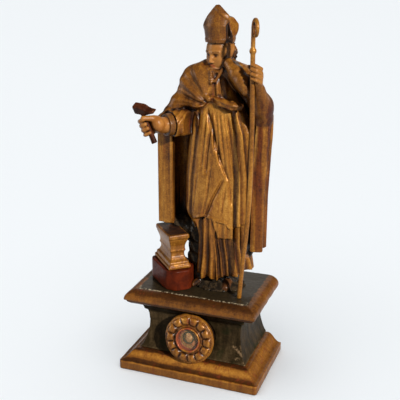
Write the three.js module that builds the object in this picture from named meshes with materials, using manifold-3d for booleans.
// A carved, gilded and painted reliquary: a bishop with a crozier and a hammer, an anvil on a red
// block beside him, on a moulded plinth whose front carries a rosette round a glazed relic.
// Millimetres, +Z up. The origin is the middle of the plinth's footprint. The front faces -Y.
import * as THREE from 'three';
import { mergeVertices } from 'three/addons/utils/BufferGeometryUtils.js';
import Module from 'manifold-3d';

const wasm = await Module();
wasm.setup();

// Driving dimensions
const PLINTH_WIDTH = 180;
const PLINTH_DEPTH = 117.2;
const BASE_EDGE_HEIGHT = 11.3;
const DIE_BOTTOM = 23.4;
const DIE_TOP = 84;
const SLAB_LIP_BOTTOM = 93.3;
const PLINTH_TOP = 105.2;
const SLAB_INSET = 6.3;
const SLAB_BORDER = 14.5;
const CORNER_RADIUS = 4;
const GAP = 0.3;

const ROSETTE = { x: 0.2, y: -42.6, z: 51.6, tilt: 9, radius: 31.6 };
const GLASS_RADIUS = 13;
const PETALS = 14;

const BLOCK_HEIGHT = 26.5;
const ANVIL_HEIGHT = 44;
const ANVIL_LENGTH = 51;
const ANVIL_WIDTH = 26;
const ANVIL_PLACE = { x: -38.6, y: -3, turn: 132 };

const STAFF_RADIUS = 2.7;
const ROBE_AXIS = { x: 12, y: 15 };
const COPE_AXIS = { x: 13, y: 9 };
const COPE_THICKNESS = 7.5;
const HEAD = { x: 16.5, y: 11, z: 391, turn: -21, nod: 12 };

// Grid step of the carved figure's surface, and the number of facets it is reduced to
const CARVING_STEP = 2;
const FIGURE_FACETS = 5050;

const radians = (degrees) => (degrees * Math.PI) / 180;
const clamp = (value, low, high) => Math.min(Math.max(value, low), high);

// Rises smoothly from 0 at low to 1 at high
function ramp(low, high, value) {
  const t = clamp((value - low) / (high - low), 0, 1);
  return t * t * (3 - 2 * t);
}

// Straight interpolation through [height, value] pairs that go up
function along(pairs, height) {
  if (height <= pairs[0][0]) return pairs[0][1];
  for (let i = 1; i < pairs.length; i += 1) {
    const [h0, v0] = pairs[i - 1];
    const [h1, v1] = pairs[i];
    if (height <= h1) return v0 + ((v1 - v0) * (height - h0)) / (h1 - h0);
  }
  return pairs[pairs.length - 1][1];
}

// Closed body through a stack of rings with the same number of points, counter-clockwise from the end
function loft(rings) {
  const count = rings[0].length;
  const positions = rings.flat().flatMap((p) => [p.x, p.y, p.z]);
  const indices = [];
  for (let r = 0; r + 1 < rings.length; r += 1) {
    for (let i = 0; i < count; i += 1) {
      const a = r * count + i;
      const b = r * count + ((i + 1) % count);
      indices.push(a, b, b + count, a, b + count, a + count);
    }
  }
  const capEnd = (ring, first, flipped) => {
    const middle = ring.reduce((sum, p) => sum.add(p), new THREE.Vector3()).divideScalar(count);
    const centre = positions.length / 3;
    positions.push(middle.x, middle.y, middle.z);
    for (let i = 0; i < count; i += 1) {
      const a = first + i;
      const b = first + ((i + 1) % count);
      indices.push(centre, flipped ? b : a, flipped ? a : b);
    }
  };
  capEnd(rings[0], 0, true);
  capEnd(rings[rings.length - 1], (rings.length - 1) * count, false);
  const geometry = new THREE.BufferGeometry();
  geometry.setAttribute('position', new THREE.Float32BufferAttribute(positions, 3));
  geometry.setIndex(indices);
  return geometry;
}

// Joining and cutting
function toSolid(geometry) {
  const bare = geometry.clone();
  bare.deleteAttribute('normal');
  bare.deleteAttribute('uv');
  const merged = mergeVertices(bare, 1e-4);
  const vertProperties = new Float32Array(merged.attributes.position.array);
  const triVerts = new Uint32Array(merged.index.array);
  return new wasm.Manifold(new wasm.Mesh({ numProp: 3, vertProperties, triVerts }));
}

function toGeometry(solid) {
  const mesh = solid.getMesh();
  const geometry = new THREE.BufferGeometry();
  geometry.setAttribute('position', new THREE.Float32BufferAttribute(mesh.vertProperties, 3));
  geometry.setIndex(Array.from(mesh.triVerts));
  return geometry;
}

// Plinth: three moulded boards, moulded on the front and both sides and cut flush behind
function boardRing(inset, z) {
  const halfWidth = PLINTH_WIDTH / 2 - inset;
  const front = -PLINTH_DEPTH / 2 + inset;
  const back = PLINTH_DEPTH / 2;
  const ring = [];
  for (const side of [-1, 1]) {
    for (let i = 0; i <= 3; i += 1) {
      const angle = radians(side < 0 ? 180 + 30 * i : 270 + 30 * i);
      ring.push(new THREE.Vector3(
        side * (halfWidth - CORNER_RADIUS) + CORNER_RADIUS * Math.cos(angle),
        front + CORNER_RADIUS + CORNER_RADIUS * Math.sin(angle),
        z,
      ));
    }
  }
  ring.push(new THREE.Vector3(halfWidth, back, z), new THREE.Vector3(-halfWidth, back, z));
  return ring;
}

const board = (profile) => loft(profile.map(([inset, z]) => boardRing(inset, z)));

function plinthBase(swell = 0) {
  const profile = [[0.8, 0], [0, 0.9], [0, BASE_EDGE_HEIGHT + swell]];
  const run = 19.6;
  const rise = DIE_BOTTOM - BASE_EDGE_HEIGHT;
  for (let i = 1; i <= 8; i += 1) {
    const t = i / 8;
    profile.push([run * t, BASE_EDGE_HEIGHT + swell + rise * (t - 0.11 * Math.sin(2 * Math.PI * t))]);
  }
  return board(profile);
}

function plinthDie(swell = 0) {
  const waist = 30.4;
  const foot = 20.2;
  const profile = [[foot - swell, DIE_BOTTOM + GAP - swell]];
  for (let i = 1; i <= 8; i += 1) {
    const t = i / 8;
    const hollow = Math.sin((Math.PI / 2) * t) ** 0.72;
    profile.push([foot + (waist - foot) * hollow - swell, DIE_BOTTOM + GAP + 36 * t]);
  }
  profile.push([waist - 0.9 - swell, 69.5], [28.4 - swell, 73.5], [25.2 - swell, 76.3]);
  profile.push([24.3 - swell, 79.5], [22.2 - swell, DIE_TOP + swell]);
  return board(profile);
}

function plinthTop() {
  const profile = [[20.8, DIE_TOP + GAP], [17.5, 85.6], [12.8, 87.2], [9.2, 90.2], [8.4, 92.4]];
  profile.push([SLAB_INSET, SLAB_LIP_BOTTOM], [SLAB_INSET, SLAB_LIP_BOTTOM + 2.2]);
  for (let i = 1; i <= 5; i += 1) {
    const t = radians(18 * i);
    profile.push([
      SLAB_INSET + (SLAB_BORDER - 1.6) * (1 - Math.cos(t)) ** 0.9,
      SLAB_LIP_BOTTOM + 2.2 + 9.7 * Math.sin(t),
    ]);
  }
  profile.push([SLAB_INSET + SLAB_BORDER, PLINTH_TOP]);
  return board(profile);
}

// Rosette: modelled with its depth along +Y, then turned to the front with its top leaning back
function mountOnFront(geometry) {
  return geometry.rotateX(Math.PI - radians(ROSETTE.tilt)).translate(ROSETTE.x, ROSETTE.y, ROSETTE.z);
}

const latheRing = (profile, sides) => {
  const points = profile.map(([radius, height]) => new THREE.Vector2(radius, height));
  return new THREE.LatheGeometry(points, sides);
};

// A ring of lobed petals that rises from its rim to the bezel of the glass
function rosetteFrame() {
  const sides = PETALS * 4;
  const hole = GLASS_RADIUS + GAP + 0.1;
  const section = [[hole, 0], [30.2, 0], [ROSETTE.radius, 1.8], [30.4, 5], [26, 8], [19.6, 9.8],
    [18, 9.2], [17, 10.8], [hole, 10.4]];
  const positions = [];
  const indices = [];
  const count = section.length;
  for (let r = 0; r < sides; r += 1) {
    const angle = (2 * Math.PI * r) / sides;
    const lobe = Math.abs(Math.cos((PETALS * angle) / 2)) ** 0.7;
    section.forEach(([radius, height], i) => {
      const petal = ramp(18.2, 23, radius) * ramp(0, 1.5, height);
      const reach = radius - 1.3 * petal * (1 - lobe) * ramp(25, 30, radius);
      positions.push(reach * Math.cos(angle), height - 2.3 * petal * (1 - lobe), reach * Math.sin(angle));
      const here = r * count;
      const next = ((r + 1) % sides) * count;
      const following = (i + 1) % count;
      indices.push(here + i, here + following, next + following, here + i, next + following, next + i);
    });
  }
  const geometry = new THREE.BufferGeometry();
  geometry.setAttribute('position', new THREE.Float32BufferAttribute(positions, 3));
  geometry.setIndex(indices);
  return mountOnFront(geometry);
}

function relicGlass() {
  const back = 7.2;
  const edge = back + 1.6;
  const profile = [[0, back], [GLASS_RADIUS, back], [GLASS_RADIUS, edge]];
  for (let i = 1; i <= 4; i += 1) {
    const t = 1 - i / 4;
    profile.push([GLASS_RADIUS * t, edge + 0.9 * (1 - t * t)]);
  }
  return mountOnFront(latheRing(profile, 32));
}

function relicBacking(behind) {
  const profile = [[0, -20], [27, -20], [27.6, -0.8], [27, -GAP], [0, -GAP]];
  const drum = toSolid(mountOnFront(latheRing(profile, 36)));
  return toGeometry(behind.reduce((solid, cut) => solid.subtract(cut), drum));
}

// Block: a stump with rounded corners, cut flat on the side towards the figure
const BLOCK_OUTLINE = [[-71, 3], [-37, -31], [-22.5, -32.5], [-8, -19.5], [-12, 7], [-42, 28], [-62, 23]];

function anvilBlock(swell = 0) {
  const outline = new THREE.Shape();
  const middle = new THREE.Vector2(-38, -2);
  const corners = BLOCK_OUTLINE.map(([x, y]) => {
    const out = new THREE.Vector2(x, y).sub(middle);
    return out.setLength(out.length() + swell).add(middle);
  });
  const rounding = 0.2;
  corners.forEach((corner, i) => {
    const before = corners[(i + corners.length - 1) % corners.length];
    const after = corners[(i + 1) % corners.length];
    const start = corner.clone().lerp(before, rounding);
    const end = corner.clone().lerp(after, rounding);
    if (i === 0) outline.moveTo(start.x, start.y);
    else outline.lineTo(start.x, start.y);
    outline.quadraticCurveTo(corner.x, corner.y, end.x, end.y);
  });
  const edge = 0.8;
  const geometry = new THREE.ExtrudeGeometry(outline, {
    depth: BLOCK_HEIGHT - 2 * edge - 2 * GAP,
    bevelThickness: edge,
    bevelSize: edge,
    bevelOffset: -edge,
    bevelSegments: 1,
    curveSegments: 3,
  });
  return geometry.translate(0, 0, PLINTH_TOP + GAP + edge);
}

// Anvil: stacked rectangles, each a share of the full length and width
function anvil() {
  const steps = [[1.08, 1.12, 0], [1.08, 1.12, 3.4], [1.02, 0.98, 4.6], [1, 0.94, 8.2], [0.88, 0.78, 10.6],
    [0.78, 0.69, 14.5], [0.76, 0.67, 17.5], [0.78, 0.7, 20], [0.82, 0.79, 21.4], [0.79, 0.73, 23.5],
    [0.8, 0.74, 28], [0.88, 0.86, 33], [0.93, 0.94, 35.6], [0.93, 0.94, 37], [1, 1, 38.4],
    [1, 1, 42.2], [0.96, 0.93, ANVIL_HEIGHT]];
  const corner = 1.1;
  const turn = radians(ANVIL_PLACE.turn);
  const rings = steps.map(([lengthShare, widthShare, height]) => {
    const halfLength = (ANVIL_LENGTH * lengthShare) / 2;
    const halfWidth = (ANVIL_WIDTH * widthShare) / 2;
    const ring = [];
    for (const [sx, sy, first] of [[1, 1, 0], [-1, 1, 90], [-1, -1, 180], [1, -1, 270]]) {
      for (const part of [0, 45, 90]) {
        const angle = radians(first + part);
        const px = sx * (halfLength - corner) + corner * Math.cos(angle);
        const py = sy * (halfWidth - corner) + corner * Math.sin(angle);
        const dip = height > 40 ? -1.1 * (1 - (px / halfLength) ** 2) : 0;
        ring.push(new THREE.Vector3(
          ANVIL_PLACE.x + px * Math.cos(turn) - py * Math.sin(turn),
          ANVIL_PLACE.y + px * Math.sin(turn) + py * Math.cos(turn),
          PLINTH_TOP + BLOCK_HEIGHT + GAP + height + dip,
        ));
      }
    }
    return ring;
  });
  return loft(rings);
}

// Round bar of changing radius along a curve
function bar(curve, radiusAt, steps, sides) {
  const rings = [];
  const frames = curve.computeFrenetFrames(steps, false);
  for (let i = 0; i <= steps; i += 1) {
    const centre = curve.getPointAt(i / steps);
    const radius = radiusAt(i / steps);
    const ring = [];
    for (let k = 0; k < sides; k += 1) {
      const angle = (2 * Math.PI * k) / sides;
      const across = frames.normals[i].clone().multiplyScalar(radius * Math.cos(angle));
      ring.push(across.addScaledVector(frames.binormals[i], radius * Math.sin(angle)).add(centre));
    }
    rings.push(ring);
  }
  return loft(rings);
}

// Crozier: a slightly bowed staff, a knop and a crook that curls towards the front
const STAFF_POINTS = [[54.9, -21.4, PLINTH_TOP + GAP], [57.4, -20.5, 142], [60.2, -20, 174], [62.5, -20, 201],
  [64, -20, 226], [65, -20, 258], [65.3, -20, 297], [65, -20, 330], [64.3, -20, 362], [64, -20, 398]];
const CROOK_DIRECTION = new THREE.Vector3(0.48, -0.877, 0);
const CROOK_RADIUS = 11;

function crozier(swell = 0) {
  const staffCurve = new THREE.CatmullRomCurve3(STAFF_POINTS.map((p) => new THREE.Vector3(...p)));
  const staff = bar(staffCurve, () => STAFF_RADIUS + swell, 14, 10);
  if (swell > 0) return toSolid(staff);
  const top = new THREE.Vector3(...STAFF_POINTS[STAFF_POINTS.length - 1]);
  const crookPoints = [top.clone().setZ(396), top.clone().setZ(408), top.clone().setZ(416)];
  const centre = new THREE.Vector3(top.x, top.y, 422).addScaledVector(CROOK_DIRECTION, CROOK_RADIUS);
  for (let i = 1; i <= 12; i += 1) {
    const angle = radians(180 - 34 * i);
    const reach = CROOK_RADIUS * (1 - 0.052 * i);
    const point = centre.clone().addScaledVector(CROOK_DIRECTION, reach * Math.cos(angle));
    point.z += reach * Math.sin(angle);
    crookPoints.push(point);
  }
  const crookCurve = new THREE.CatmullRomCurve3(crookPoints);
  const crook = bar(crookCurve, (t) => 2.5 - 0.7 * t, 24, 8);
  const knopProfile = [[0, -2.8], [2.8, -2.8], [3.7, -0.8], [3.7, 0.8], [2.8, 2.8], [0, 2.8]];
  const knop = latheRing(knopProfile, 12).rotateX(Math.PI / 2).translate(top.x, top.y, 398);
  return toSolid(staff).add(toSolid(crook)).add(toSolid(knop));
}

// Hammer: a tapering handle through the right fist and a square head with a narrow peen
const HANDLE_TOP = new THREE.Vector3(-57, -45, 328);
const HANDLE_BOTTOM = new THREE.Vector3(-41.8, -45, 293);
const HEAD_CENTRE = new THREE.Vector3(-58.9, -45, 331.1);
const HEAD_LENGTHWISE = new THREE.Vector3(0.973, -0.229, -0.027);
const HEAD_ACROSS = new THREE.Vector3(0.207, 0.818, 0.537);
const HEAD_BEVEL = 1.3;
// Place along the head, half width, top and bottom of each section
const HEAD_SECTIONS = [[-7, 4.4, 5.6, -5.6], [-6, 4.6, 5.95, -5.95], [5, 4.6, 5.95, -5.95],
  [8, 4.6, 4.6, -5.6], [10.5, 4.5, 2.4, -4.6], [14, 4.4, 1.2, -3.2], [20, 4.2, 0.9, -1]];

function hammer(swell = 0) {
  const handleCurve = new THREE.LineCurve3(HANDLE_BOTTOM, HANDLE_TOP);
  const handle = toSolid(bar(handleCurve, (t) => 3.4 - 1.2 * t + swell, 6, 8));
  const rings = HEAD_SECTIONS.map(([place, width, height, depth]) => {
    const [w, top, bottom] = [width + swell, height + swell, depth - swell];
    const cut = Math.min(HEAD_BEVEL, (top - bottom) / 4);
    return [
      [w, top - cut], [w - cut, top], [cut - w, top], [-w, top - cut],
      [-w, bottom + cut], [cut - w, bottom], [w - cut, bottom], [w, bottom + cut],
    ].map(([across, up]) => new THREE.Vector3(place, across, up));
  });
  const up = HEAD_LENGTHWISE.clone().cross(HEAD_ACROSS);
  const head = loft(rings).applyMatrix4(new THREE.Matrix4().makeBasis(HEAD_LENGTHWISE, HEAD_ACROSS, up));
  head.translate(HEAD_CENTRE.x, HEAD_CENTRE.y, HEAD_CENTRE.z);
  return handle.add(toSolid(head));
}

// Distances for the carved figure: negative inside the wood
function blend(a, b, softness) {
  const h = Math.max(softness - Math.abs(a - b), 0) / softness;
  return Math.min(a, b) - (h * h * softness) / 4;
}

const carve = (a, b, softness) => -blend(-a, b, softness);

function limb(x, y, z, start, end, startRadius, endRadius) {
  const [ax, ay, az] = start;
  const ux = end[0] - ax;
  const uy = end[1] - ay;
  const uz = end[2] - az;
  const share = ((x - ax) * ux + (y - ay) * uy + (z - az) * uz) / (ux * ux + uy * uy + uz * uz);
  const t = clamp(share, 0, 1);
  const distance = Math.hypot(x - ax - ux * t, y - ay - uy * t, z - az - uz * t);
  return distance - startRadius - (endRadius - startRadius) * t;
}

function egg(x, y, z, centre, radii) {
  const dx = x - centre[0];
  const dy = y - centre[1];
  const dz = z - centre[2];
  const near = Math.hypot(dx / radii[0], dy / radii[1], dz / radii[2]);
  const far = Math.hypot(dx / radii[0] ** 2, dy / radii[1] ** 2, dz / radii[2] ** 2);
  return far > 0 ? (near * (near - 1)) / far : -Math.min(...radii);
}

// Distance from an axis to a rounded outline in the same direction
function ovalReach(dx, dy, halfWidth, halfDepth, squareness) {
  const share = (Math.abs(dx) / halfWidth) ** squareness + (Math.abs(dy) / halfDepth) ** squareness;
  return Math.hypot(dx, dy) / Math.max(share ** (1 / squareness), 1e-6);
}

// Robe: a dalmatic with folds that fan out from a gather at the waist, over a fluted alb.
// Angles go round the robe's axis from the front, positive towards +X.
const HEM_Z = 196;
const ROBE_LEFT = [[105, 21], [130, 22], [150, 20], [172, 19.5], [182, 23], [190, 29], [197, 34], [204, 37],
  [250, 36], [300, 31], [330, 27], [362, 20]];
const ROBE_RIGHT = [[105, 50], [125, 52], [141, 49], [150, 47], [200, 46], [250, 46], [300, 44], [322, 36],
  [340, 28], [362, 22]];
const ROBE_DEPTH = [[105, 26], [125, 30], [200, 29], [250, 28], [300, 25], [330, 22], [362, 17]];

// Half width and depth of each crease, then its path as heights and angles from its foot up
const CREASES = [
  [2.4, 1.6, [[256, -9], [278, -7], [306, 0], [327, -12]]],
  [3, 2.4, [[218, 50], [246, 45], [274, 26], [311, 4], [324, -8]]],
  [3, 2.2, [[194, -31], [200, -8], [221, 8], [238, 26], [247, 34]]],
  [2.8, 2, [[190, -50], [324, -40]]],
  [3, 2.4, [[198, -67], [318, -66]]],
  [2.4, 2.4, [[170, 57], [250, 56], [320, 46]]],
  [2.4, 2.6, [[160, 68], [250, 67], [324, 58]]],
  [2.4, 2.6, [[150, 79], [250, 78], [322, 70]]],
];

// Half width and height of each ridge of the alb, then its path
const FLUTES = [
  [3.4, 5, [[118, -20], [150, -12], [190, -10]]],
  [3.6, 5.2, [[118, 7], [150, 9], [185, 5]]],
  [2.4, 2.6, [[118, 36], [150, 31], [172, 24]]],
  [3.2, 5, [[116, 60], [150, 54], [175, 52]]],
  [2.4, 4.6, [[124, 69], [150, 66], [170, 64]]],
  [3.6, 5, [[128, 84], [150, 80], [170, 77]]],
  [3.4, 4.4, [[120, -42], [180, -38]]],
  [6, 4, [[120, 104], [170, 98]]],
];

const ridge = (off, halfWidth) => Math.exp(-((off / halfWidth) ** 2));

function robeFolds(angle, z, reach) {
  let relief = 0;
  for (const [halfWidth, depth, path] of CREASES) {
    const bottom = path[0][0];
    const top = path[path.length - 1][0];
    if (z > bottom - 7 && z < top + 6) {
      const fade = ramp(bottom - 7, bottom + 5, z) * (1 - ramp(top - 4, top + 6, z));
      relief -= depth * fade * ridge(radians(angle - along(path, z)) * reach, halfWidth);
    }
  }
  const hemDrop = 16 * ramp(-34, -56, angle) + 8 * ramp(36, 48, angle);
  const hem = HEM_Z + 3 * Math.cos(radians(angle * 4 + 30)) - hemDrop;
  if (z > hem) return relief;
  let flutes = 0;
  for (const [halfWidth, height, path] of FLUTES) {
    flutes += height * ridge(radians(angle - along(path, z)) * reach, halfWidth);
  }
  const front = 1 - ramp(82, 92, Math.abs(angle - 26));
  const panelLeft = 22 - 0.6 * (z - 174);
  const panel = ramp(0, 2, angle - panelLeft) * (1 - ramp(50, 53, angle)) * ramp(173, 174.5, z);
  return relief - 5 + Math.min(flutes, 5.4) * front + (3.4 - 0.4 * flutes) * panel;
}

function robe(x, y, z) {
  const dx = x - ROBE_AXIS.x;
  const dy = y - ROBE_AXIS.y;
  const halfWidth = along(dx < 0 ? ROBE_LEFT : ROBE_RIGHT, z);
  const reach = ovalReach(dx, dy, halfWidth, along(ROBE_DEPTH, z), dx < 0 ? 2.3 : 2.05);
  const angle = (Math.atan2(dx, -dy) * 180) / Math.PI;
  const surface = reach + robeFolds(angle, z, reach);
  const wall = (Math.hypot(dx, dy) - surface) * 0.8;
  const hem = 120 + 2 * Math.cos(radians(angle * 9)) + 9 * ramp(20, 75, angle);
  return Math.max(wall, hem - z, z - 372);
}

// Cope: a thick cloak open in front, its edge turned flat on one side and rolled on the other
const COPE_LEFT = [[160, 66], [300, 66], [320, 58], [334, 50], [357, 39], [366, 34], [376, 20], [384, 12]];
const COPE_RIGHT = [[160, 60.4], [225, 60.6], [285, 63.2], [322, 66.2], [336, 62], [350, 50], [364, 36],
  [384, 12]];
const COPE_BACK = [[160, 40], [285, 38], [330, 32], [350, 27], [370, 19], [384, 12]];
const COPE_FRONT = [[160, 20], [330, 20], [350, 16], [384, 10]];
const OPENING = { left: -81, right: 79 };
const COPE_HEM_Z = 164;
const STRIP = { x: -47.5, y: 1.5, halfWidth: 9.3, halfDepth: 4.6, bottom: 176, top: 308 };

function copeFolds(angle, z, dx) {
  const long = 1 - ramp(290, 345, z);
  const turned = Math.abs(angle);
  const rollZone = ramp(74, 84, angle) * (1 - ramp(104, 116, angle));
  const rolls = 2.8 * Math.cos(radians((angle - 84) * 30)) * rollZone;
  const back = 2.4 * Math.cos(radians(angle * 11)) * ramp(108, 125, turned);
  const hoodEdge = 27 * Math.sqrt(clamp((z - 292) / 46, 0, 1));
  const hood = 2 * ramp(1.2, -1.2, Math.abs(dx) - hoodEdge) * ramp(120, 130, turned) * ramp(292, 295, z);
  return (rolls + back) * long + hood * (1 - ramp(362, 366, z));
}

function cope(x, y, z) {
  const dx = x - COPE_AXIS.x;
  const dy = y - COPE_AXIS.y;
  const halfWidth = along(dx < 0 ? COPE_LEFT : COPE_RIGHT, z);
  const halfDepth = along(dy > 0 ? COPE_BACK : COPE_FRONT, z);
  const angle = (Math.atan2(dx, -dy) * 180) / Math.PI;
  const distance = Math.hypot(dx, dy);
  const middle = ovalReach(dx, dy, halfWidth, halfDepth, 2.4) - COPE_THICKNESS / 2 + copeFolds(angle, z, dx);
  const sheet = Math.abs(distance - middle) * 0.85 - COPE_THICKNESS / 2;
  const past = radians(Math.min(angle - OPENING.left, OPENING.right - angle)) * distance;
  const leftRise = 11 * ramp(-120, -95, angle) * (1 - ramp(-5, 0, angle));
  const rightDrop = 5 * ramp(40, 70, angle) * (1 - ramp(90, 130, angle));
  const hem = COPE_HEM_Z + 1.2 * Math.cos(radians(angle * 7)) + leftRise - rightDrop;
  const shell = carve(sheet, -past, 3);
  const strip = Math.max(
    Math.abs(x - STRIP.x) - STRIP.halfWidth,
    Math.abs(y - STRIP.y) - STRIP.halfDepth,
    STRIP.bottom - z,
    z - STRIP.top,
  );
  return blend(Math.max(shell, hem - z, z - 382), strip, 5);
}

// Cape: the cope drawn over the right arm, with folds that run to the gather
const CAPE_HEM = [[-54, 317], [-49, 318], [-37, 325], [-13, 323.5], [4, 331], [12, 340], [16, 356]];

function cape(x, y, z) {
  let d = limb(x, y, z, [8, 10, 373], [-13, 9, 361], 12, 14);
  d = blend(d, limb(x, y, z, [-13, 9, 361], [-34, -3, 323], 14, 9.4), 6);
  d = blend(d, limb(x, y, z, [-34, -3, 323], [-46, -10, 318], 9, 4.4), 4);
  d = blend(d, limb(x, y, z, [6, 5, 362], [-4, 2, 339], 14, 15.5), 12);
  const across = 14 - x;
  const up = z - 331;
  const spread = Math.atan2(up, Math.max(across, 1));
  const folds = Math.sin(spread * 12 + 0.6) * ramp(2, 18, across) * ramp(80, 45, Math.hypot(across, up));
  const hem = along(CAPE_HEM, x) - 1.6 * ramp(10, 24, y);
  return Math.max(d - 1.2 * folds * ramp(12, -4, y), (hem - z) * 0.9);
}

// Turned-back edge of the cope: start, end and both radii of each stretch
const FOLDBACK = [
  [[31, 1, 381], [42, -2, 371], 6, 8.4],
  [[42, -2, 371], [51, -4, 364], 8.4, 8],
  [[51, -4, 364], [58, -6, 355], 8, 6],
];

// Shoulder, sleeve and turned-back edge on the crozier's side
function farShoulder(x, y, z) {
  let d = limb(x, y, z, [26, 11, 374], [44, 13, 363], 12, 13.4);
  d = blend(d, limb(x, y, z, [44, 13, 363], [67, 8, 334], 13.4, 13), 8);
  d = blend(d, limb(x, y, z, [67, 8, 334], [71, 6, 320], 13, 11), 6);
  const upperHollow = egg(x, y, z, [37, -13, 350], [10, 16, 14]);
  const lowerHollow = egg(x, y, z, [50, -10, 331], [7.5, 18, 19]);
  d = carve(d, blend(upperHollow, lowerHollow, 6), 2);
  FOLDBACK.forEach((stretch) => {
    d = blend(d, limb(x, y, z, ...stretch), 3.5);
  });
  return blend(d, limb(x, y, z, [71, 0, 332], [69.5, -11, 355], 11, 7), 6);
}

// Each grip has unit axes along the bar, out to the finger joints and to the back of the hand.
// The hammer's hand shows its palm: its fingertips bend round the bar to the ball of the thumb.
const CROZIER_GRIP = {
  middle: [64.4, -20, 371.5],
  along: [0, 0, 1],
  out: [-0.34, -0.94, 0],
  side: [0.94, -0.34, 0],
  size: 1,
  slant: 3,
  showsPalm: false,
};
const HAMMER_GRIP = {
  middle: [-50.6, -45, 311.5],
  along: [-0.385, 0, 0.923],
  out: [-0.8, -0.5, -0.333],
  side: [-0.46, 0.866, -0.19],
  size: 1.08,
  slant: 0.6,
  showsPalm: true,
};
const FINGER_RADII = [2.5, 2.7, 2.6, 2.2];

// A fist round a bar: four fingers stacked along it, the thumb and the back of the hand
function fist(x, y, z, { middle, along: axis, out, side, size, slant, showsPalm }) {
  const offset = [x - middle[0], y - middle[1], z - middle[2]];
  const at = [axis, out, side].map((way) => (
    (offset[0] * way[0] + offset[1] * way[1] + offset[2] * way[2]) / size
  ));
  let d = egg(...at, [-0.6 - slant, -3, 5.4], [9.6, 6, 5.6]);
  FINGER_RADII.forEach((radius, i) => {
    const place = 7.4 - 5 * i;
    const joint = [place, 5.2, 3.8];
    const bend = [place + 0.5 * slant, 4.6, -2.8];
    let finger = limb(...at, [place - slant, -1, 8.2], joint, radius, radius);
    finger = Math.min(finger, limb(...at, joint, bend, radius, radius - 0.2));
    if (showsPalm) {
      const tip = [place + 0.8, 2.4 - 0.7 * i, -5];
      finger = Math.min(finger, limb(...at, bend, tip, radius, radius - 0.3));
    }
    d = blend(d, finger, 0.7);
  });
  if (!showsPalm) return blend(d, limb(...at, [8.4, -4, 4], [10.2, 2.6, -2.6], 2.6, 2.1), 1.5) * size;
  d = blend(d, egg(...at, [-1.4, -11, -0.4], [9.2, 7.2, 7.6]), 1.8);
  return blend(d, limb(...at, [5.4, -9, -2.4], [9.6, 1.4, -5], 3.6, 2.6), 1.2) * size;
}

// Right forearm: a full sleeve, and the wrist in a cuff that stands open round it
function nearForearm(x, y, z) {
  let d = limb(x, y, z, [-14, 6, 312], [-31, -13, 309.5], 16.4, 16);
  d = Math.max(d, (x + 32) * -0.62 + (y + 18) * -0.78);
  const cuff = limb(x, y, z, [-31, -16, 309.8], [-36, -23, 310], 14, 13);
  const rim = (x + 36.5) * -0.62 + (y + 25) * -0.78;
  const bore = limb(x, y, z, [-38, -25.6, 310.2], [-46, -37, 311], 10.6, 11.4);
  d = Math.min(d, carve(Math.max(cuff, rim, -7 - rim), bore, 1));
  return blend(d, limb(x, y, z, [-31, -18, 310], [-41, -31, 310.5], 9.5, 9.5), 1.5);
}

// Head, turned and nodding, with its own axes: side, forward and up
function headAxes(x, y, z) {
  const turn = radians(HEAD.turn);
  const nod = radians(HEAD.nod);
  const dx = x - HEAD.x;
  const dy = y - HEAD.y;
  const side = dx * Math.cos(turn) + dy * Math.sin(turn);
  const level = dx * Math.sin(turn) - dy * Math.cos(turn);
  const dz = z - HEAD.z;
  const forward = level * Math.cos(nod) - dz * Math.sin(nod);
  const up = dz * Math.cos(nod) + level * Math.sin(nod);
  return [side, forward, up, level];
}

function face(side, forward, up) {
  const pair = Math.abs(side);
  let d = egg(side, forward, up, [0, -0.6, 4], [14.2, 16.6, 16]);
  d = blend(d, egg(side, forward, up, [0, 4.6, -6], [11.4, 12.4, 14]), 4);
  d = blend(d, egg(side, forward, up, [0, 12.6, -15], [4.6, 4, 3.6]), 3);
  d = carve(d, egg(pair, forward, up, [5.2, 17.6, 1], [3.6, 3.4, 2.6]), 1.5);
  d = blend(d, egg(pair, forward, up, [5.2, 12.8, 0.6], [2.6, 2.4, 1.8]), 0.6);
  d = blend(d, limb(side, forward, up, [0, 15, 4], [0, 18.6, -4.2], 1.6, 2.2), 1.6);
  return carve(d, limb(side, forward, up, [-3.4, 17, -9.4], [3.4, 17, -9.4], 0.7, 0.7), 0.8);
}

function hair(side, forward, up) {
  const pair = Math.abs(side);
  const curls = 0.9 * Math.sin(up * 0.95 + forward * 0.5) * Math.cos(forward * 0.8);
  const cap = egg(pair, forward, up, [8.5, -7, -1], [6.6, 9.5, 13.5]);
  const nape = egg(side, forward, up, [0, -11, -3], [12, 7.5, 13]);
  return blend(cap, nape, 4) - curls;
}

// Mitre: two horns with a narrow cleft between them, the front one taller and steeper on its right
const CLEFT_LEVEL = 1.6;
const CLEFT_WIDTH = 1.4;
const MITRE_BOTTOM = 11.8;
const MITRE_HALF_WIDTH = [[10, 15.6], [15, 16.4], [30, 18.9], [40, 17.8], [56, 13.2]];
const FRONT_HALF_DEPTH = [[10, 16.6], [15, 17.2], [30, 18.8], [42, 14.6], [54, 9]];
const REAR_HALF_DEPTH = [[10, 14.8], [16, 17], [25, 21.4], [31, 21.4], [38, 15], [42, 10]];
const FRONT_PEAK = 53;
const REAR_EDGE = [[0, 40.4], [6, 38.6], [10, 32], [14, 23], [17, 14]];

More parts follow.
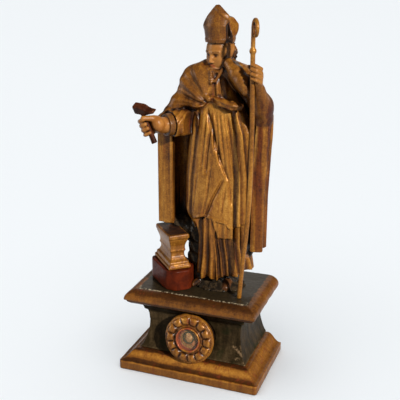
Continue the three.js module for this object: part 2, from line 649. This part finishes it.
function mitre(side, level, z) {
  const height = z - HEAD.z;
  const front = level > CLEFT_LEVEL;
  const halfDepth = along(front ? FRONT_HALF_DEPTH : REAR_HALF_DEPTH, height);
  const reach = ovalReach(side, level, along(MITRE_HALF_WIDTH, height), halfDepth, 2.1);
  const wall = (Math.hypot(side, level) - reach) * 0.85;
  const across = side - 2;
  const frontEdge = FRONT_PEAK - 1.35 * Math.max(-across - 1, 0) - 0.78 * Math.max(across - 1, 0);
  const edge = front ? (height - frontEdge) * 0.66 : (height - along(REAR_EDGE, Math.abs(across))) * 0.55;
  const body = Math.max(wall, edge, MITRE_BOTTOM - height);
  const floor = 24 - 0.4 * Math.abs(side);
  return carve(body, Math.max(Math.abs(level - CLEFT_LEVEL) - CLEFT_WIDTH, (floor - height) * 0.8), 0.8);
}

// Swag under the chest: start, end and both radii of each stretch
const SWAG = [
  [[9, -5, 344], [22, -7.5, 340], 4.4, 6],
  [[22, -7.5, 340], [37, -7.5, 337.5], 6, 6.2],
  [[37, -7.5, 337.5], [50, -2, 338], 6.2, 5],
];
const SWAG_MIDDLE = [[9, 344], [22, 340], [37, 337.5], [50, 338]];

// Swag, collar and chest folds in front
function chest(x, y, z) {
  let d = egg(x, y, z, [12, 11, 350], [20, 17, 30]);
  const panel = ramp(12, 16, x) * ramp(36, 32, x) * ramp(366, 356, z) * ramp(12, 0, y);
  d -= (1.4 * Math.cos((x - 20 + 0.12 * (z - 345)) * 0.72) + 0.8) * panel;
  const swag = Math.min(...SWAG.map((stretch) => limb(x, y, z, ...stretch)));
  const creases = 0.9 * Math.cos((z - along(SWAG_MIDDLE, x)) * 1.15 + 0.05 * x);
  d = blend(d, swag + creases, 1.4);
  d = blend(d, limb(x, y, z, [15, 11, 362], [16.5, 11, 384], 11, 9.4), 5);
  d = blend(d, egg(x, y, z, [15.6, 5, 371], [11.5, 10.5, 3.6]), 1);
  d = blend(d, limb(x, y, z, [9, -4, 374], [15, -7.5, 361], 2, 1.6), 0.8);
  d = blend(d, limb(x, y, z, [24, -2, 374], [17, -7.5, 361], 2.2, 1.6), 0.8);
  return blend(d, limb(x, y, z, [11.6, -7.5, 371], [12.6, -9, 359], 2, 1.6), 0.8);
}

// Dark rock behind the robe's edge and rough ground under it, with the toes of two shoes
function rock(x, y, z) {
  const lumps = 1.8 * Math.sin(x * 0.3 + z * 0.2) * Math.cos(y * 0.28 - z * 0.24);
  const rough = lumps + 0.6 * Math.sin(z * 0.4 + x * 0.2);
  const stump = limb(x, y, z, [-5, 15, 112], [-3, 15, 182], 19, 16) - rough;
  const mound = egg(x, y, z, [20, 12, 99], [42, 35, 18]) - 0.5 * lumps;
  const ground = Math.max(blend(stump, mound, 4), z - 190, PLINTH_TOP - 2 - z);
  const farShoe = Math.max(limb(x, y, z, [31, 4, 116], [30, -13, 113], 7, 6), 110.5 - z);
  const nearShoe = limb(x, y, z, [-2, 0, 112], [-7.5, -12, 110.5], 5, 3.2);
  return blend(ground, Math.min(farShoe, nearShoe), 1.5);
}

function bishop(x, y, z) {
  const [side, forward, up, level] = headAxes(x, y, z);
  let d = rock(x, y, z);
  d = blend(d, robe(x, y, z), 1.2);
  if (z > 296) {
    d = blend(d, chest(x, y, z), 2);
    d = blend(d, farShoulder(x, y, z), 2);
    d = blend(d, nearForearm(x, y, z), 1);
    d = blend(d, cape(x, y, z), 1.5);
    d = blend(d, blend(face(side, forward, up), hair(side, forward, up), 1), 1.5);
    d = blend(d, mitre(side, level, z), 0.8);
    d = blend(d, fist(x, y, z, CROZIER_GRIP), 1.5);
    d = blend(d, fist(x, y, z, HAMMER_GRIP), 1.5);
    d = blend(d, limb(x, y, z, [69.5, -11, 352], [68.5, -16, 364], 6, 6), 2);
  }
  return blend(d, cope(x, y, z), 2.5);
}

// Surface of a distance field, by cutting each cell of a grid into six tetrahedra
const CELL_CORNERS = [0, 1, 2, 3, 4, 5, 6, 7].map((n) => [n & 1, (n >> 1) & 1, (n >> 2) & 1]);
const RING_ROUND_DIAGONAL = [1, 3, 2, 6, 4, 5];

function surfaceOf(field, low, high, step) {
  const size = low.map((value, i) => Math.ceil((high[i] - value) / step) + 1);
  const values = new Float32Array(size[0] * size[1] * size[2]);
  const indexOf = (i, j, k) => (k * size[1] + j) * size[0] + i;
  const pointOf = (index) => [
    low[0] + step * (index % size[0]),
    low[1] + step * (Math.floor(index / size[0]) % size[1]),
    low[2] + step * Math.floor(index / (size[0] * size[1])),
  ];
  for (let index = 0; index < values.length; index += 1) values[index] = field(...pointOf(index));
  const positions = [];
  const triangles = [];
  const known = new Map();
  const crossing = (inside, outside) => {
    const key = Math.min(inside, outside) * values.length + Math.max(inside, outside);
    if (known.has(key)) return known.get(key);
    const t = clamp(values[inside] / (values[inside] - values[outside]), 0.04, 0.96);
    const p = pointOf(inside);
    const q = pointOf(outside);
    positions.push(p.map((value, i) => value + (q[i] - value) * t));
    known.set(key, positions.length - 1);
    return positions.length - 1;
  };
  const addFacet = (a, b, c, outward) => {
    const [p, q, r] = [positions[a], positions[b], positions[c]];
    const u = q.map((value, i) => value - p[i]);
    const v = r.map((value, i) => value - p[i]);
    const facing = (u[1] * v[2] - u[2] * v[1]) * outward[0] + (u[2] * v[0] - u[0] * v[2]) * outward[1]
      + (u[0] * v[1] - u[1] * v[0]) * outward[2];
    if (facing > 0) triangles.push([a, b, c]);
    else triangles.push([a, c, b]);
  };
  const addTetrahedron = (corners) => {
    const inside = corners.filter((corner) => values[corner] < 0);
    const outside = corners.filter((corner) => values[corner] >= 0);
    if (!inside.length || !outside.length) return;
    const mean = (list) => [0, 1, 2].map((i) => (
      list.reduce((sum, corner) => sum + pointOf(corner)[i], 0) / list.length
    ));
    const from = mean(inside);
    const outward = mean(outside).map((value, i) => value - from[i]);
    if (inside.length === 2) {
      const [a, b] = inside;
      const [c, d] = outside;
      const quad = [crossing(a, c), crossing(a, d), crossing(b, d), crossing(b, c)];
      addFacet(quad[0], quad[1], quad[2], outward);
      addFacet(quad[0], quad[2], quad[3], outward);
    } else {
      const cuts = inside.flatMap((a) => outside.map((b) => crossing(a, b)));
      addFacet(cuts[0], cuts[1], cuts[2], outward);
    }
  };
  for (let k = 0; k + 1 < size[2]; k += 1) {
    for (let j = 0; j + 1 < size[1]; j += 1) {
      for (let i = 0; i + 1 < size[0]; i += 1) {
        const corners = CELL_CORNERS.map(([a, b, c]) => indexOf(i + a, j + b, k + c));
        const count = corners.reduce((sum, corner) => sum + (values[corner] < 0 ? 1 : 0), 0);
        if (count === 0 || count === 8) continue;
        RING_ROUND_DIAGONAL.forEach((first, n) => {
          const second = RING_ROUND_DIAGONAL[(n + 1) % 6];
          addTetrahedron([corners[0], corners[first], corners[second], corners[7]]);
        });
      }
    }
  }
  return { positions, triangles };
}

// Keeps only the largest connected body
function largestBody({ positions, triangles }) {
  const parent = positions.map((_, i) => i);
  const root = (i) => {
    let at = i;
    while (parent[at] !== at) {
      parent[at] = parent[parent[at]];
      at = parent[at];
    }
    return at;
  };
  triangles.forEach(([a, b, c]) => {
    parent[root(b)] = root(a);
    parent[root(c)] = root(a);
  });
  const counts = new Map();
  triangles.forEach(([a]) => counts.set(root(a), (counts.get(root(a)) || 0) + 1));
  const [main] = [...counts].sort((p, q) => q[1] - p[1])[0];
  return { positions, triangles: triangles.filter(([a]) => root(a) === main) };
}

function geometryOf({ positions, triangles }) {
  const geometry = new THREE.BufferGeometry();
  geometry.setAttribute('position', new THREE.Float32BufferAttribute(positions.flat(), 3));
  geometry.setIndex(triangles.flat());
  return geometry;
}

// Splits a geometry's arrays into separate points and facets
function facetsOf(geometry) {
  const inThrees = (array) => Array.from({ length: array.length / 3 }, (_, i) => (
    [array[3 * i], array[3 * i + 1], array[3 * i + 2]]
  ));
  const { position } = geometry.attributes;
  return { positions: inThrees(position.array), triangles: inThrees(geometry.index.array) };
}

// Smallest-first queue of edges to collapse
class Queue {
  constructor() {
    this.items = [];
  }

  push(item) {
    const { items } = this;
    items.push(item);
    let at = items.length - 1;
    while (at > 0) {
      const up = (at - 1) >> 1;
      if (items[up].cost <= items[at].cost) break;
      [items[up], items[at]] = [items[at], items[up]];
      at = up;
    }
  }

  pop() {
    const { items } = this;
    const first = items[0];
    const last = items.pop();
    if (items.length) {
      items[0] = last;
      let at = 0;
      for (;;) {
        const left = 2 * at + 1;
        let least = at;
        if (left < items.length && items[left].cost < items[least].cost) least = left;
        if (left + 1 < items.length && items[left + 1].cost < items[least].cost) least = left + 1;
        if (least === at) break;
        [items[least], items[at]] = [items[at], items[least]];
        at = least;
      }
    }
    return first;
  }
}

// Reduces a closed surface by collapsing the edges that change its shape least
function reduce({ positions, triangles }, facets) {
  const points = positions.map((p) => new THREE.Vector3(...p));
  const faces = triangles.map((t) => [...t]);
  const alive = faces.map(() => true);
  const around = points.map(() => new Set());
  const errors = points.map(() => new Float64Array(10));
  const stamp = new Uint32Array(points.length);
  const normalOf = (p, q, r) => q.clone().sub(p).cross(r.clone().sub(p));
  faces.forEach((face3, index) => {
    const [p, q, r] = face3.map((v) => points[v]);
    const normal = normalOf(p, q, r);
    const area = normal.length() / 2;
    normal.normalize();
    const w = -normal.dot(p);
    const plane = [normal.x, normal.y, normal.z, w];
    face3.forEach((v) => {
      around[v].add(index);
      let n = 0;
      for (let i = 0; i < 4; i += 1) {
        for (let j = i; j < 4; j += 1) {
          errors[v][n] += plane[i] * plane[j] * area;
          n += 1;
        }
      }
    });
  });
  const costAt = (e, p) => e[0] * p.x * p.x + e[4] * p.y * p.y + e[7] * p.z * p.z + e[9]
    + 2 * (e[1] * p.x * p.y + e[2] * p.x * p.z + e[5] * p.y * p.z + e[3] * p.x + e[6] * p.y + e[8] * p.z);
  const bestPoint = (e, a, b) => {
    const matrix = new THREE.Matrix3().set(e[0], e[1], e[2], e[1], e[4], e[5], e[2], e[5], e[7]);
    const middle = a.clone().add(b).multiplyScalar(0.5);
    const scale = e[0] + e[4] + e[7];
    if (Math.abs(matrix.determinant()) > 1e-4 * scale ** 3) {
      const solved = new THREE.Vector3(-e[3], -e[6], -e[8]).applyMatrix3(matrix.invert());
      if (solved.distanceTo(middle) < 2 * a.distanceTo(b)) return solved;
    }
    return [a, b, middle].reduce((best, p) => (costAt(e, p) < costAt(e, best) ? p : best)).clone();
  };
  const queue = new Queue();
  const offer = (a, b) => {
    const total = errors[a].map((value, i) => value + errors[b][i]);
    const place = bestPoint(total, points[a], points[b]);
    const length = points[a].distanceTo(points[b]);
    queue.push({ a, b, place, cost: costAt(total, place) + 1e-4 * length ** 3, mark: stamp[a] + stamp[b] });
  };
  const neighboursOf = (v) => {
    const set = new Set();
    around[v].forEach((index) => faces[index].forEach((w) => set.add(w)));
    set.delete(v);
    return set;
  };
  points.forEach((_, v) => neighboursOf(v).forEach((w) => {
    if (w > v) offer(v, w);
  }));
  const folds = (v, other, place) => [...around[v]].some((index) => {
    if (faces[index].includes(other)) return false;
    const before = faces[index].map((w) => points[w]);
    const after = faces[index].map((w) => (w === v ? place : points[w]));
    const n0 = normalOf(...before);
    const n1 = normalOf(...after);
    return n0.dot(n1) < 0.25 * n0.length() * n1.length() || n1.length() < 1e-3;
  });
  const gone = new Uint8Array(points.length);
  let left = faces.length;
  while (left > facets && queue.items.length) {
    const { a, b, place, mark } = queue.pop();
    if (gone[a] || gone[b] || stamp[a] + stamp[b] !== mark) continue;
    const near = neighboursOf(a);
    if (!near.has(b)) continue;
    const shared = [...neighboursOf(b)].filter((w) => near.has(w));
    if (shared.length !== 2 || folds(a, b, place) || folds(b, a, place)) continue;
    points[a].copy(place);
    errors[a] = errors[a].map((value, i) => value + errors[b][i]);
    around[b].forEach((index) => {
      if (faces[index].includes(a)) {
        faces[index].forEach((w) => around[w].delete(index));
        alive[index] = false;
        left -= 1;
      } else {
        faces[index][faces[index].indexOf(b)] = a;
        around[a].add(index);
      }
    });
    gone[b] = 1;
    stamp[a] += 1;
    neighboursOf(a).forEach((w) => offer(a, w));
  }
  const kept = faces.filter((_, i) => alive[i]);
  return geometryOf({ positions: points.map((p) => p.toArray()), triangles: kept });
}

// The figure is cut clear of everything that it stands on, beside or holds
function figure() {
  const low = [-68, -62, PLINTH_TOP - 8];
  const high = [94, 62, 452];
  const carved = reduce(largestBody(surfaceOf(bishop, low, high, CARVING_STEP)), FIGURE_FACETS);
  const ground = new THREE.BoxGeometry(400, 400, 40).translate(0, 0, PLINTH_TOP + GAP - 20);
  const anvilRoom = new THREE.BoxGeometry(ANVIL_LENGTH * 1.08 + 2, ANVIL_WIDTH * 1.12 + 2, ANVIL_HEIGHT + 2);
  anvilRoom.rotateZ(radians(ANVIL_PLACE.turn));
  anvilRoom.translate(ANVIL_PLACE.x, ANVIL_PLACE.y, PLINTH_TOP + BLOCK_HEIGHT + ANVIL_HEIGHT / 2);
  const cuts = [toSolid(ground), toSolid(anvilBlock(1)), toSolid(anvilRoom), crozier(GAP), hammer(GAP)];
  const fitted = toGeometry(cuts.reduce((solid, cut) => solid.subtract(cut), toSolid(carved)));
  return geometryOf(largestBody(facetsOf(fitted)));
}

const GILDED = { color: 0x9a6a2c, roughness: 0.45, metalness: 0.6 };
const DARK_GREEN = { color: 0x232a1c, roughness: 0.6, metalness: 0 };
const MAROON = { color: 0x5e2016, roughness: 0.55, metalness: 0 };
const DARK_BROWN = { color: 0x3a2016, roughness: 0.6, metalness: 0 };
const CLEAR = { color: 0xe8eef0, roughness: 0.08, metalness: 0 };

function piece(name, geometry, finish) {
  const mesh = new THREE.Mesh(geometry, new THREE.MeshStandardMaterial(finish));
  mesh.name = name;
  return mesh;
}

const group = new THREE.Group();
group.add(
  piece('plinth_base', plinthBase(), GILDED),
  piece('plinth_die', plinthDie(), DARK_GREEN),
  piece('plinth_top', plinthTop(), GILDED),
  piece('relic_backing', relicBacking([plinthDie(GAP), plinthBase(GAP)].map(toSolid)), DARK_BROWN),
  piece('rosette_frame', rosetteFrame(), GILDED),
  piece('relic_glass', relicGlass(), CLEAR),
  piece('anvil_block', anvilBlock(), MAROON),
  piece('anvil', anvil(), GILDED),
  piece('bishop', figure(), GILDED),
  piece('crozier', toGeometry(crozier()), GILDED),
  piece('hammer', toGeometry(hammer()), DARK_BROWN),
);

export default group;
